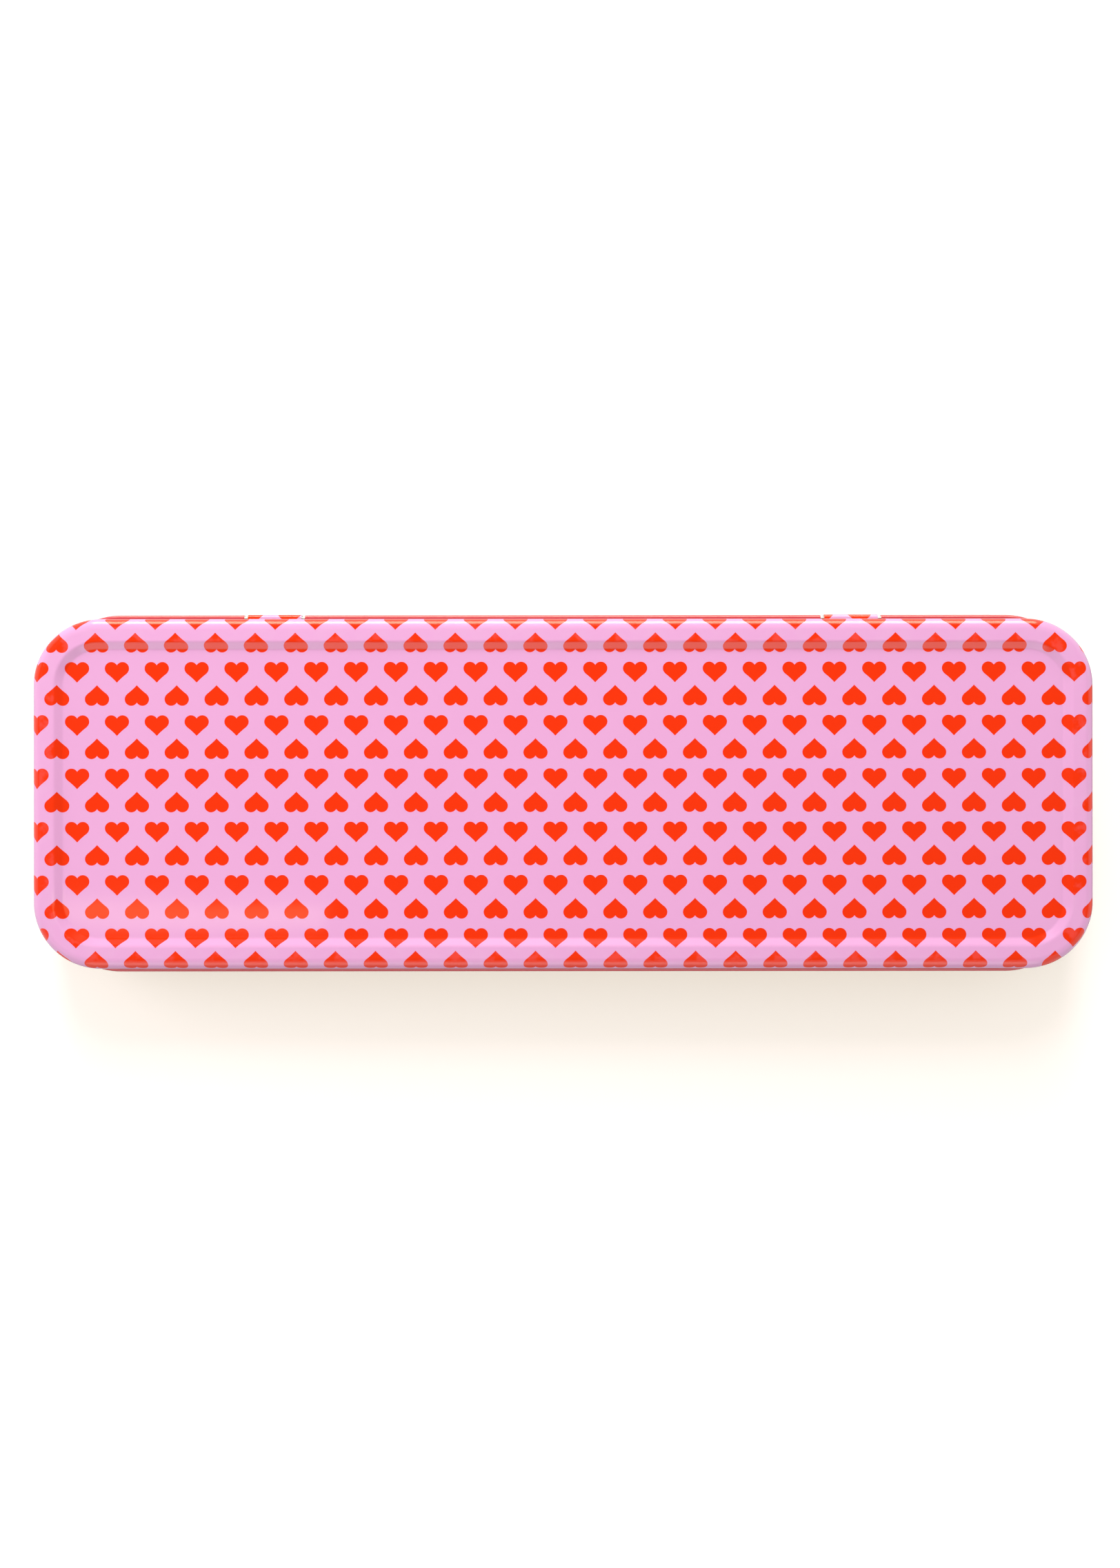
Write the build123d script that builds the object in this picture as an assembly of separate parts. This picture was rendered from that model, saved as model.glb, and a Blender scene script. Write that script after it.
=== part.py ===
from build123d import *
from math import acos, atan2, cos, degrees, hypot, radians, sin
import os

os.makedirs("parts", exist_ok=True)

# A hinged pencil tin pressed from printed tinplate, closed, standing on the foot round its base.
# X runs along its length, +Y is the hinge side and Z is up. The origin is at the middle of its foot.

# Sheet and hinge wire
SHEET = 0.28
WIRE_RADIUS = 0.5
WIRE_LENGTH = 31.0
WIRE_END_CHAMFER = 0.15

# Base, measured outside
BASE_LENGTH = 196.0
BASE_WIDTH = 64.8
BASE_HEIGHT = 20.0
CORNER_RADIUS = 12.4
FOOT_EDGE_RADIUS = 2.2
RIM_CURL_RADIUS = 0.7
RIM_CURL_ANGLE = 300.0

# Panel pressed up into the underside, with the foot left standing round it
PANEL_RECESS = 0.9
FOOT_INSET = 4.1
PANEL_INSET = 6.0
PRESS_BEND_RADIUS = 0.7

# Lid, a cap outside the base's walls, with a raised panel that another tin's foot stands round
SKIRT_CLEARANCE = 0.55
SEAT_CLEARANCE = 0.05
LID_PANEL_RISE = 0.6
LID_STEP_WIDTH = 1.8
STACK_CLEARANCE = 0.25
HEM_CURL_ANGLE = 300.0

# Hinges: two tongues of the base, curled round wires that the lid's hem grips
HINGE_HEIGHT = 12.8
HINGE_INSET = 42.3
TONGUE_WIDTH = 10.4
TONGUE_BEND_RADIUS = 0.2
TONGUE_SLIT = 0.3
KNUCKLE_CLEARANCE = 0.09
KNUCKLE_CURL_ANGLE = 290.0
NOTCH_SIDE_CLEARANCE = 0.65
NOTCH_TOP_CLEARANCE = 0.35
NOTCH_CORNER_RADIUS = 0.5

# Worked out from the sizes above
HEM_RADIUS = WIRE_RADIUS + SHEET
KNUCKLE_RADIUS = WIRE_RADIUS + KNUCKLE_CLEARANCE + SHEET
SKIRT_OFFSET = SKIRT_CLEARANCE + SHEET
HINGE_Y = BASE_WIDTH / 2 + SKIRT_CLEARANCE + HEM_RADIUS
LID_RING_TOP = BASE_HEIGHT + SEAT_CLEARANCE + SHEET
LID_EDGE_RADIUS = RIM_CURL_RADIUS + SKIRT_OFFSET
LID_RING_INSET = FOOT_INSET + SKIRT_OFFSET + STACK_CLEARANCE
HINGE_X = BASE_LENGTH / 2 - HINGE_INSET
HINGE_PLACES = {"left": -HINGE_X, "right": HINGE_X}


def bent_sheet(start, heading, moves):
    """Section of a bent sheet, drawn along one face with the sheet on the left of the line.

    A move is either the length of a straight run, or a bend as its inside radius and its angle,
    where a positive angle turns to the left.
    """
    near, far = [], []
    here = Vector(*start)
    for move in moves:
        along = Vector(1, 0).rotate(Axis.Z, heading)
        across = along.rotate(Axis.Z, 90) * SHEET
        if isinstance(move, tuple):
            radius, angle = move
            near_radius, far_radius = (radius + SHEET, radius) if angle > 0 else (radius, radius + SHEET)
            near.append(JernArc(here, along, near_radius, angle))
            far.append(JernArc(here + across, along, far_radius, angle))
            heading += angle
        else:
            near.append(Line(here, here + along * move))
            far.append(Line(here + across, here + across + along * move))
        here = near[-1] @ 1
    ends = [Line(near[0] @ 0, far[0] @ 0), Line(near[-1] @ 1, far[-1] @ 1)]
    return make_face(near + far + ends)


def pressed_step(width, height):
    """Moves that take a sheet down a pressed step: a bend, a slope and the bend back."""
    radii = 2 * PRESS_BEND_RADIUS + SHEET
    steepness = degrees(atan2(width, radii - height) - acos(radii / hypot(width, radii - height)))
    slope = (width - radii * sin(radians(steepness))) / cos(radians(steepness))
    return [(PRESS_BEND_RADIUS, -steepness), slope, (PRESS_BEND_RADIUS, steepness)]


def run_round(section, corner_x, corner_y):
    """Carry a wall section round the four corners and the four straight sides between them.

    The section lies in the XZ plane, and its x is measured outwards from a corner's centre.
    """
    pieces = []
    centres = [(corner_x, corner_y), (-corner_x, corner_y), (-corner_x, -corner_y), (corner_x, -corner_y)]
    for quarter, (x, y) in enumerate(centres):
        here = Pos(x, y, 0) * Rot(0, 0, 90 * quarter)
        side_length = 2 * (corner_x if quarter % 2 == 0 else corner_y)
        pieces.append(here * revolve(section, Axis.Z, 90))
        pieces.append(here * extrude(Rot(0, 0, 90) * section, side_length, dir=(-1, 0, 0)))
    return pieces


def drawn_shell(height, moves):
    """Whole shell of one drawn sheet: a flat panel at a height, and the moves that go on from its edge."""
    corner_x = BASE_LENGTH / 2 - CORNER_RADIUS
    corner_y = BASE_WIDTH / 2 - CORNER_RADIUS
    section = Plane.XZ * bent_sheet((0, height), 0, moves)
    panel = Pos(0, 0, height) * Box(2 * corner_x, 2 * corner_y, SHEET,
                                    align=(Align.CENTER, Align.CENTER, Align.MIN))
    return Part() + [panel] + run_round(section, corner_x, corner_y)


def base_shell():
    """Base, followed along its outside: panel, foot, wall and the rim curled inwards."""
    return drawn_shell(PANEL_RECESS, [
        CORNER_RADIUS - PANEL_INSET,
        *pressed_step(PANEL_INSET - FOOT_INSET, PANEL_RECESS),
        FOOT_INSET - FOOT_EDGE_RADIUS,
        (FOOT_EDGE_RADIUS - SHEET, 90),
        BASE_HEIGHT - FOOT_EDGE_RADIUS - RIM_CURL_RADIUS,
        (RIM_CURL_RADIUS - SHEET, RIM_CURL_ANGLE),
    ])


def lid_shell():
    """Lid, followed along its inside: panel, ring, skirt and the hem curled outwards round the wire."""
    return drawn_shell(LID_RING_TOP + LID_PANEL_RISE - SHEET, [
        CORNER_RADIUS + SKIRT_OFFSET - LID_RING_INSET - LID_STEP_WIDTH,
        *pressed_step(LID_STEP_WIDTH, LID_PANEL_RISE),
        LID_RING_INSET - LID_EDGE_RADIUS,
        (LID_EDGE_RADIUS - SHEET, -90),
        LID_RING_TOP - LID_EDGE_RADIUS - HINGE_HEIGHT,
        (WIRE_RADIUS, HEM_CURL_ANGLE),
    ])


def tongue_section():
    """Tongue that leaves the rear wall, passes under the wire and curls up round it."""
    wall = BASE_WIDTH / 2
    under_wire = HINGE_HEIGHT - KNUCKLE_RADIUS
    return bent_sheet((wall, under_wire - TONGUE_BEND_RADIUS - SHEET), 90, [
        SHEET,
        (TONGUE_BEND_RADIUS, -90),
        HINGE_Y - wall - TONGUE_BEND_RADIUS,
        (KNUCKLE_RADIUS - SHEET, KNUCKLE_CURL_ANGLE),
    ])


def make_base_tray():
    """Base with its two tongues, each lanced from the window that it leaves in the rear wall."""
    tray = base_shell()
    section = tongue_section()
    developed_length = section.area / SHEET
    window_bottom = HINGE_HEIGHT - KNUCKLE_RADIUS - TONGUE_BEND_RADIUS
    for x in HINGE_PLACES.values():
        window = Pos(x, BASE_WIDTH / 2, window_bottom) * Box(
            TONGUE_WIDTH + 2 * TONGUE_SLIT, 4 * SHEET, developed_length - SHEET,
            align=(Align.CENTER, Align.CENTER, Align.MIN))
        tongue = Pos(x, 0, 0) * extrude(Plane.YZ * section, TONGUE_WIDTH / 2, both=True)
        tray = tray - window + tongue
    return tray


def make_lid():
    """Lid with a notch through its hem and skirt for each knuckle."""
    lid = lid_shell()
    notch_top = HINGE_HEIGHT + KNUCKLE_RADIUS + NOTCH_TOP_CLEARANCE
    notch_width = TONGUE_WIDTH + 2 * NOTCH_SIDE_CLEARANCE
    punch = Plane.XZ * RectangleRounded(notch_width, 2 * (notch_top - HINGE_HEIGHT), NOTCH_CORNER_RADIUS)
    for x in HINGE_PLACES.values():
        lid -= Pos(x, HINGE_Y, HINGE_HEIGHT) * extrude(punch, 2 * HEM_RADIUS, both=True)
    return lid


def make_hinge_wire(x):
    """Wire that turns in one knuckle and is gripped by the hem on both sides of the notch."""
    wire = Cylinder(WIRE_RADIUS, WIRE_LENGTH)
    wire = chamfer(wire.edges().filter_by(GeomType.CIRCLE), WIRE_END_CHAMFER)
    return Pos(x, HINGE_Y, HINGE_HEIGHT) * Rot(0, 90, 0) * wire


nodes = {"base_tray": make_base_tray(), "lid": make_lid()}
for side, place in HINGE_PLACES.items():
    nodes["hinge_wire_" + side] = make_hinge_wire(place)

for name, shape in nodes.items():
    export_step(shape, "parts/" + name + ".step")
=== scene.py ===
# %% [markdown]
# # A hinged pencil tin of printed tinplate
#
# The object is a long tin with rounded corners. Its base and its lid are each pressed from one thin sheet,
# and two tongues of the base curl round two wires in the lid's hem, so the lid swings. It lies upside down
# in the photograph, so the camera looks at the pink underside with its small hearts.
#
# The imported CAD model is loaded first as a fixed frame. The two sheets are drawn again here with the print
# on them, from the same sizes, and the two wires are the CAD's own.

from math import acos, atan2, ceil, cos, degrees, hypot, pi, radians, sin

import bmesh
import bpy
from mathutils import Matrix, Vector


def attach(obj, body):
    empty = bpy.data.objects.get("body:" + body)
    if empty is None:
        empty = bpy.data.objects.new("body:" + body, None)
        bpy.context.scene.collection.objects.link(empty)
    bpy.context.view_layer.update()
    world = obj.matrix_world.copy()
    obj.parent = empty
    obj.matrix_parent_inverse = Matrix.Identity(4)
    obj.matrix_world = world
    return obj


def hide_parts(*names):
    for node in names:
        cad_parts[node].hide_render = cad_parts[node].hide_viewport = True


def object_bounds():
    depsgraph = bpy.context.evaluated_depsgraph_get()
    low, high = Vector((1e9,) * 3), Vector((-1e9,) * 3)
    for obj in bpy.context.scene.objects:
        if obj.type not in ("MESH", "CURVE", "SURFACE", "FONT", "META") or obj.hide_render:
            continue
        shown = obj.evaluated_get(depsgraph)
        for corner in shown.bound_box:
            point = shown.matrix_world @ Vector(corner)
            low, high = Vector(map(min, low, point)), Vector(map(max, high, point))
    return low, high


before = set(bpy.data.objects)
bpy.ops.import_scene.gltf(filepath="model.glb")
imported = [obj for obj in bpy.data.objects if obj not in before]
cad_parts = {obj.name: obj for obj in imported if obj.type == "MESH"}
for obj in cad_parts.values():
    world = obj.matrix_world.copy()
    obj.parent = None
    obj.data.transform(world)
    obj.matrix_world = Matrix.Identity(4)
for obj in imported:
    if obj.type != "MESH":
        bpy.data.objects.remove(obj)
cad_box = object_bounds()
print("CAD box in mm:", [[round(value * 1000, 2) for value in corner] for corner in cad_box])

# %% [markdown]
# ## Sizes
#
# These are the sizes of the CAD model, in millimetres. A tin maker would give them on one drawing: the
# sheet, the base measured outside, the lid worked out from it, and the hinge line where the wires lie.
# They have names here, so that every later step says which size it means.

# %% Sizes in millimetres
MM = 0.001

SHEET = 0.28
WIRE_RADIUS = 0.5

CORNER_X = 85.6
CORNER_Y = 20.0
BASE_CORNER_RADIUS = 12.4
BASE_HEIGHT = 20.0
FOOT_EDGE_RADIUS = 2.2
RIM_CURL_RADIUS = 0.7
RIM_CURL_ANGLE = 300
PANEL_RECESS = 0.9
FOOT_INSET = 4.1
PANEL_INSET = 6.0
PRESS_BEND_RADIUS = 0.7

LID_RING_TOP = 20.33
LID_PANEL_RISE = 0.6
LID_STEP_WIDTH = 1.8
LID_EDGE_RADIUS = 1.53
LID_RING_INSET = 5.18
LID_CORNER_RADIUS = 13.23
HEM_CURL_ANGLE = 300

HINGE_Y = 33.73
HINGE_HEIGHT = 12.8
HINGE_X = 55.7
TONGUE_WIDTH = 10.4
TONGUE_BEND_RADIUS = 0.2
KNUCKLE_RADIUS = 0.87
KNUCKLE_CURL_ANGLE = 290
WINDOW_WIDTH = 11.0
WINDOW_BOTTOM = 11.73
WINDOW_TOP = 17.09
WINDOW_CORNER_RADIUS = 0.3
NOTCH_WIDTH = 11.7
NOTCH_TOP = 14.02
NOTCH_CORNER_RADIUS = 0.5

WALL_Y = CORNER_Y + BASE_CORNER_RADIUS
LID_TOP = LID_RING_TOP + LID_PANEL_RISE
print("Base is", 2 * (CORNER_X + BASE_CORNER_RADIUS), "by", 2 * WALL_Y, "mm")
print("Closed tin is", LID_TOP, "mm high")

# %% [markdown]
# ## Sections of bent sheet
#
# Every wall of the tin is the same thin sheet, bent along a line. Each could be modelled as a solid wall
# and hollowed out, but a real press bends flat sheet, and the print has to follow that sheet. So each one
# starts as a section: straight runs and round bends, drawn along the face that carries the colour. A run
# gets a point close to each of its ends, because smooth shading would otherwise spread the curve of a
# bend far over the flat beside it.

# %% A helper that walks along a bent sheet
HOLD = 0.12
BEND_STEP = 10.0


def section_points(start, heading, moves):
    """Points of a section in mm. A move is a run's length, or a bend as its radius and its angle."""
    points = [Vector(start)]
    for move in moves:
        along = Vector((cos(radians(heading)), sin(radians(heading))))
        here = points[-1]
        if isinstance(move, tuple):
            radius, angle = move
            turn = 1 if angle > 0 else -1
            centre = here + turn * radius * Vector((-along.y, along.x))
            parts = ceil(abs(angle) / BEND_STEP)
            for part in range(1, parts + 1):
                spoke = here - centre
                spoke.rotate(Matrix.Rotation(radians(angle * part / parts), 2))
                points.append(centre + spoke)
            heading += angle
        else:
            if move > 4 * HOLD:
                points.append(here + along * HOLD)
                points.append(here + along * (move - HOLD))
            points.append(here + along * move)
    return points


def section_length(points):
    """Length of a section in mm, which is how far the print goes on along it."""
    return sum((b - a).length for a, b in zip(points, points[1:]))


# %% Helpers that put a section in the scene
def new_object(name, data):
    """An object for a mesh, a lamp or a camera, linked to the scene."""
    made = bpy.data.objects.new(name, data)
    bpy.context.scene.collection.objects.link(made)
    return made


def section_object(name, points):
    """The section as a line of edges. Its x runs away from the path and its y runs down from it.

    Each point remembers how much sheet lies before it, so that the print can follow the sheet.
    """
    first = points[0]
    mesh = bpy.data.meshes.new(name)
    corners = [((point.x - first.x) * MM, -point.y * MM, 0) for point in points]
    mesh.from_pydata(corners, [(i, i + 1) for i in range(len(corners) - 1)], [])
    developed = mesh.attributes.new("developed", "FLOAT", "POINT")
    for i in range(len(points)):
        developed.data[i].value = section_length(points[:i + 1]) * MM
    made = new_object(name, mesh)
    made.hide_render = True
    print(name, len(points), "points,", round(section_length(points), 2), "mm of sheet")
    return made


# %% [markdown]
# ### Pressed steps
#
# Both sheets have a panel that is pressed out of the level of the ring round it. The step between them is
# a bend, a slope and the bend back. Its slope could be guessed by eye, but the two bends have to meet it
# without a kink, so the angle is worked out from the step's width and height.

# %% A helper for the slope of a pressed step
def pressed_step(width, height):
    """Angle in degrees and length in mm of the slope between the two bends of a step."""
    radii = 2 * PRESS_BEND_RADIUS + SHEET
    steep = atan2(width, radii - height) - acos(radii / hypot(width, radii - height))
    slope = (width - radii * sin(steep)) / cos(steep)
    return degrees(steep), slope


# %% [markdown]
# ### Base
#
# The press pushes the middle of the underside up and leaves a foot standing round it. Outside the foot the
# sheet turns up through a rounded edge into the wall, and at the top it is rolled inwards, so no raw edge
# meets a child's fingers.

# %% Section of the base, from the panel to the rolled rim
base_step, base_slope = pressed_step(PANEL_INSET - FOOT_INSET, PANEL_RECESS)
base_panel_radius = BASE_CORNER_RADIUS - PANEL_INSET
base_points = section_points((base_panel_radius, PANEL_RECESS), 0, [
    (PRESS_BEND_RADIUS, -base_step),
    base_slope,
    (PRESS_BEND_RADIUS + SHEET, base_step),
    FOOT_INSET - FOOT_EDGE_RADIUS,
    (FOOT_EDGE_RADIUS, 90),
    BASE_HEIGHT - FOOT_EDGE_RADIUS - RIM_CURL_RADIUS,
    (RIM_CURL_RADIUS, RIM_CURL_ANGLE),
])
base_section = section_object("base_section", base_points)

# %% [markdown]
# ### Lid
#
# The lid is a cap over the base. Its top panel is raised, so that the foot of another tin stands round it,
# and its hem is rolled outwards round the hinge wires.

# %% Section of the lid, from the panel to the rolled hem
lid_step, lid_slope = pressed_step(LID_STEP_WIDTH, LID_PANEL_RISE)
lid_panel_radius = LID_CORNER_RADIUS - LID_RING_INSET - LID_STEP_WIDTH
lid_points = section_points((lid_panel_radius, LID_TOP), 0, [
    (PRESS_BEND_RADIUS + SHEET, -lid_step),
    lid_slope,
    (PRESS_BEND_RADIUS, lid_step),
    LID_RING_INSET - LID_EDGE_RADIUS,
    (LID_EDGE_RADIUS, -90),
    LID_RING_TOP - LID_EDGE_RADIUS - HINGE_HEIGHT,
    (WIRE_RADIUS, HEM_CURL_ANGLE),
])
lid_section = section_object("lid_section", lid_points)

# %% [markdown]
# ### Hinge tongues
#
# Each tongue is cut free on three sides from the wall behind it, bent out and curled up round its wire.
# The window that it leaves in the wall is as tall as the tongue is long. The photograph shows a row of
# hearts on both knuckles, which fixes where the print starts on a tongue.

# %% Section of a tongue, from the wall to the end of its curl
TONGUE_PRINT_START = 40.1

tongue_points = section_points((WALL_Y, WINDOW_BOTTOM), 90, [
    (TONGUE_BEND_RADIUS, -90),
    HINGE_Y - WALL_Y - TONGUE_BEND_RADIUS,
    (KNUCKLE_RADIUS, KNUCKLE_CURL_ANGLE),
])
tongue_section = section_object("tongue_section", tongue_points)

# %% [markdown]
# ## Shared effects for the finishes
#
# Enamel on tinplate is nearly flat colour, so its life is in small things: a varnish that is never quite
# level, hair-fine scratches, and a dull rub where the tin slides on a table. Each could be drawn anew in
# every material, but then a change would have to be made four times. So each effect is one shader group,
# built once and used by the finishes with their own values.

# %% Helpers that place and feed nodes
def put(tree, kind, **values):
    """A new node with some of its properties set."""
    node = tree.nodes.new(kind)
    for key, value in values.items():
        setattr(node, key, value)
    return node


def feed(tree, value, socket):
    """Links an output to a socket, or sets the socket to a plain value."""
    if isinstance(value, bpy.types.NodeSocket):
        tree.links.new(value, socket)
    else:
        socket.default_value = value


def feed_named(tree, node, **inputs):
    """Feeds a node's inputs by their names, with _ for a space, and gives the node back."""
    for key, value in inputs.items():
        feed(tree, value, node.inputs[key.replace("_", " ")])
    return node


def step(tree, kind, properties=None, **inputs):
    """A new node with its properties set and its inputs fed by name. Returns its first output."""
    node = put(tree, kind, **(properties or {}))
    return feed_named(tree, node, **inputs).outputs[0]


# %% Helpers that reckon with numbers
def maths(tree, operation, *values, kind="ShaderNodeMath"):
    """A Math node on some values, and its output."""
    node = put(tree, kind, operation=operation)
    for value, socket in zip(values, node.inputs):
        feed(tree, value, socket)
    return node.outputs[0]


def soft_step(tree, value, low, high):
    """0 below low and 1 above high, with a smooth change between them."""
    smooth = {"interpolation_type": "SMOOTHSTEP"}
    return step(tree, "ShaderNodeMapRange", smooth, Value=value, From_Min=low, From_Max=high)


def parts_of(tree, vector):
    """The X, Y and Z of a vector."""
    node = put(tree, "ShaderNodeSeparateXYZ")
    feed(tree, vector, node.inputs[0])
    return node.outputs


# %% Helpers that open a shader group
FLOAT = "NodeSocketFloat"
VECTOR = "NodeSocketVector"


def shader_group(name, inputs, output):
    """A new shader group with named inputs and one output. Gives the group, its inputs and its end."""
    group = bpy.data.node_groups.new(name, "ShaderNodeTree")
    for label, kind, value in inputs:
        socket = group.interface.new_socket(label, in_out="INPUT", socket_type=kind)
        if value is not None:
            socket.default_value = value
    group.interface.new_socket(output, in_out="OUTPUT", socket_type=FLOAT)
    group_in = group.nodes.new("NodeGroupInput")
    group_out = group.nodes.new("NodeGroupOutput")
    return group, group_in.outputs, group_out.inputs[0]


def tell(made):
    """Prints how many nodes a tree or a material has so far."""
    tree = getattr(made, "node_tree", made)
    print(made.name, "has", len(tree.nodes), "nodes")


# %% [markdown]
# ### Hearts
#
# The print is a repeat of two rows: hearts with their tips towards the front, and between them hearts
# with their tips towards the hinge. It could be an image laid over the tin, but an image goes soft when
# the camera comes near. So a heart is drawn by rule, as two round lobes and a pointed lower part. The
# distance to that outline is worked out for the nearest heart of each row, and the edge of the ink stays
# clean at any size.

# %% The outline of one heart, in millimetres
LOBE_RADIUS = 1.205
LOBE_SIDE = 1.035
LOBE_UP = 0.61
TIP_DOWN = 2.0
FLANK_SPREAD = 0.90
FLANK_BOW = 0.12
HALF_WIDTH = 1.85
FLANK_LEAN = 0.75


def heart_distance(tree, across, up):
    """Distance to a heart's outline in mm, below 0 inside it. Up runs from the tip to the lobes."""
    side = maths(tree, "ABSOLUTE", across)
    lobe_x = maths(tree, "SUBTRACT", side, LOBE_SIDE)
    lobe_y = maths(tree, "SUBTRACT", up, LOBE_UP)
    square_x = maths(tree, "MULTIPLY", lobe_x, lobe_x)
    square_y = maths(tree, "MULTIPLY", lobe_y, lobe_y)
    from_centre = maths(tree, "SQRT", maths(tree, "ADD", square_x, square_y))
    lobe = maths(tree, "SUBTRACT", from_centre, LOBE_RADIUS)
    from_tip = maths(tree, "ADD", up, TIP_DOWN)
    bow = maths(tree, "MULTIPLY_ADD", from_tip, FLANK_BOW, FLANK_SPREAD)
    half_width = maths(tree, "MINIMUM", maths(tree, "MULTIPLY", from_tip, bow), HALF_WIDTH)
    flank = maths(tree, "MULTIPLY", maths(tree, "SUBTRACT", side, half_width), FLANK_LEAN)
    point = maths(tree, "MAXIMUM", flank, maths(tree, "SUBTRACT", up, LOBE_UP))
    return maths(tree, "MINIMUM", lobe, point)


# %% The heart print, read from the print's place on the flat sheet
HEART_PITCH_X = 7.35
HEART_PITCH_Y = 9.825
# For each row, where one of its hearts lies and which way it stands.
HEART_ROWS = ((1.41, 2.87, 1), (-2.265, -1.58, -1))

heart_print, given, result = shader_group(
    "heart_print", [("Sheet", VECTOR, None), ("Edge Softness", FLOAT, 0.035)], "Ink")
tree = heart_print
on_sheet = parts_of(tree, given["Sheet"])
sheet_x = maths(tree, "MULTIPLY", on_sheet["X"], 1000)
sheet_y = maths(tree, "MULTIPLY", on_sheet["Y"], 1000)
distances = []
for row_x, row_y, upright in HEART_ROWS:
    across = maths(tree, "SUBTRACT", sheet_x, row_x)
    across = maths(tree, "WRAP", across, HEART_PITCH_X / 2, -HEART_PITCH_X / 2)
    up = maths(tree, "SUBTRACT", sheet_y, row_y)
    up = maths(tree, "WRAP", up, HEART_PITCH_Y / 2, -HEART_PITCH_Y / 2)
    up = maths(tree, "MULTIPLY", up, upright)
    distances.append(heart_distance(tree, across, up))
depth_inside = maths(tree, "MULTIPLY", maths(tree, "MINIMUM", *distances), -1)
softness = given["Edge Softness"]
covered = soft_step(tree, depth_inside, maths(tree, "MULTIPLY", softness, -1), softness)
feed(tree, covered, result)
tell(heart_print)

# %% [markdown]
# ### Varnish
#
# The varnish is stoved on the flat sheet, where it creeps into a faint orange peel and lies a little
# thicker here and thinner there. Two noises give its height, a very fine one and a wide one. They are
# only ever used for a bump, because such waves are far too low to be worth any mesh.

# %% Varnish that is not quite level
PEEL_SHARE = 0.06


def noise_at(tree, place, scale, detail=2):
    """Noise between 0 and 1 at a place. A larger scale makes it finer."""
    return step(tree, "ShaderNodeTexNoise", Vector=place, Scale=scale, Detail=detail)


varnish_wave, given, result = shader_group(
    "varnish_wave", [("Place", VECTOR, None), ("Peel", FLOAT, 1.0), ("Sway", FLOAT, 1.0)], "Height")
tree = varnish_wave
peel = noise_at(tree, given["Place"], 900, 1)
sway = noise_at(tree, given["Place"], 26, 1)
fine = maths(tree, "MULTIPLY", peel, given["Peel"])
wide = maths(tree, "MULTIPLY", sway, given["Sway"])
level = maths(tree, "ADD", maths(tree, "MULTIPLY", fine, PEEL_SHARE), wide)
feed(tree, level, result)
tell(varnish_wave)

# %% [markdown]
# ### Scratches
#
# A tin that lives in a school bag gets long thin scratches that cross at random, in patches. Drawn one by
# one they would take hundreds of strokes. Noise that is squeezed in one direction and stretched in the
# other makes streaks instead, and only the places where it passes one value become lines. A second noise
# picks the patches.

# %% Hair-fine scratches in three directions
SCRATCH_SETS = ((0.35, 9), (1.9, 6), (2.8, 12))
LINE_AT = 0.66
LINE_WIDTH = 0.012
PATCH_THRESHOLD = 0.72
PATCH_RANGE = 0.3
PATCH_EDGE = 0.2


def stretched(tree, place, scale, turn=0):
    """A place in a space that is turned about Z and scaled, so that noise on it becomes streaks."""
    return step(tree, "ShaderNodeMapping", Vector=place, Rotation=(0, 0, turn), Scale=scale)


fine_scratches, given, result = shader_group(
    "fine_scratches", [("Place", VECTOR, None), ("Amount", FLOAT, 0.5)], "Mask")
tree = fine_scratches
lines = []
for turn, stretch in SCRATCH_SETS:
    drawn_out = stretched(tree, given["Place"], (stretch, 700, 60), turn)
    streaks = noise_at(tree, drawn_out, 1.6, 0)
    off_line = maths(tree, "ABSOLUTE", maths(tree, "SUBTRACT", streaks, LINE_AT))
    outside = soft_step(tree, off_line, 0.0, LINE_WIDTH)
    lines.append(maths(tree, "SUBTRACT", 1, outside))
patch = noise_at(tree, given["Place"], 38)
threshold = maths(tree, "MULTIPLY", given["Amount"], PATCH_RANGE)
threshold = maths(tree, "SUBTRACT", PATCH_THRESHOLD, threshold)
full = maths(tree, "ADD", threshold, PATCH_EDGE)
where = soft_step(tree, patch, threshold, full)
together = maths(tree, "MAXIMUM", maths(tree, "MAXIMUM", lines[0], lines[1]), lines[2])
feed(tree, maths(tree, "MULTIPLY", together, where), result)
tell(fine_scratches)

# %% [markdown]
# ### Rub
#
# The rub is worn on by whatever the tin stands on. It could be painted by hand, but the shape already
# says where it lies: only where the sheet comes within a hair of the foot's plane or the lid's top. So
# the mask is the closeness to that plane, broken up by noise.

# %% Rub where the tin slides on a table
RUB_STARTS = 0.46
RUB_FULL = 0.62

table_rub, given, result = shader_group(
    "table_rub",
    [("Place", VECTOR, None), ("Contact Height", FLOAT, 0.0), ("Depth", FLOAT, 0.00012)],
    "Mask",
)
tree = table_rub
height = parts_of(tree, given["Place"])["Z"]
away = maths(tree, "ABSOLUTE", maths(tree, "SUBTRACT", height, given["Contact Height"]))
near = maths(tree, "SUBTRACT", 1, soft_step(tree, away, 0.0, given["Depth"]))
patches = soft_step(tree, noise_at(tree, given["Place"], 420, 4), RUB_STARTS, RUB_FULL)
feed(tree, maths(tree, "MULTIPLY", near, patches), result)
tell(table_rub)

# %% [markdown]
# ## Finishes
#
# The tin has four: printed pink enamel on the base, cherry red on the lid, the bare tinplate of the inside
# and of every cut edge, and the drawn steel of the hinge wires. Each is a Principled shader, because light
# and gloss then behave alike on all. Each pattern is read from a place on the object or on its flat sheet,
# so it stays put when the lid turns.

# %% Helpers for a material
WHITE = (1, 1, 1, 1)


def blank_material(name):
    """A material with an empty node tree, and that tree."""
    finish = bpy.data.materials.new(name)
    finish.use_nodes = True
    finish.node_tree.nodes.clear()
    return finish, finish.node_tree


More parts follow.
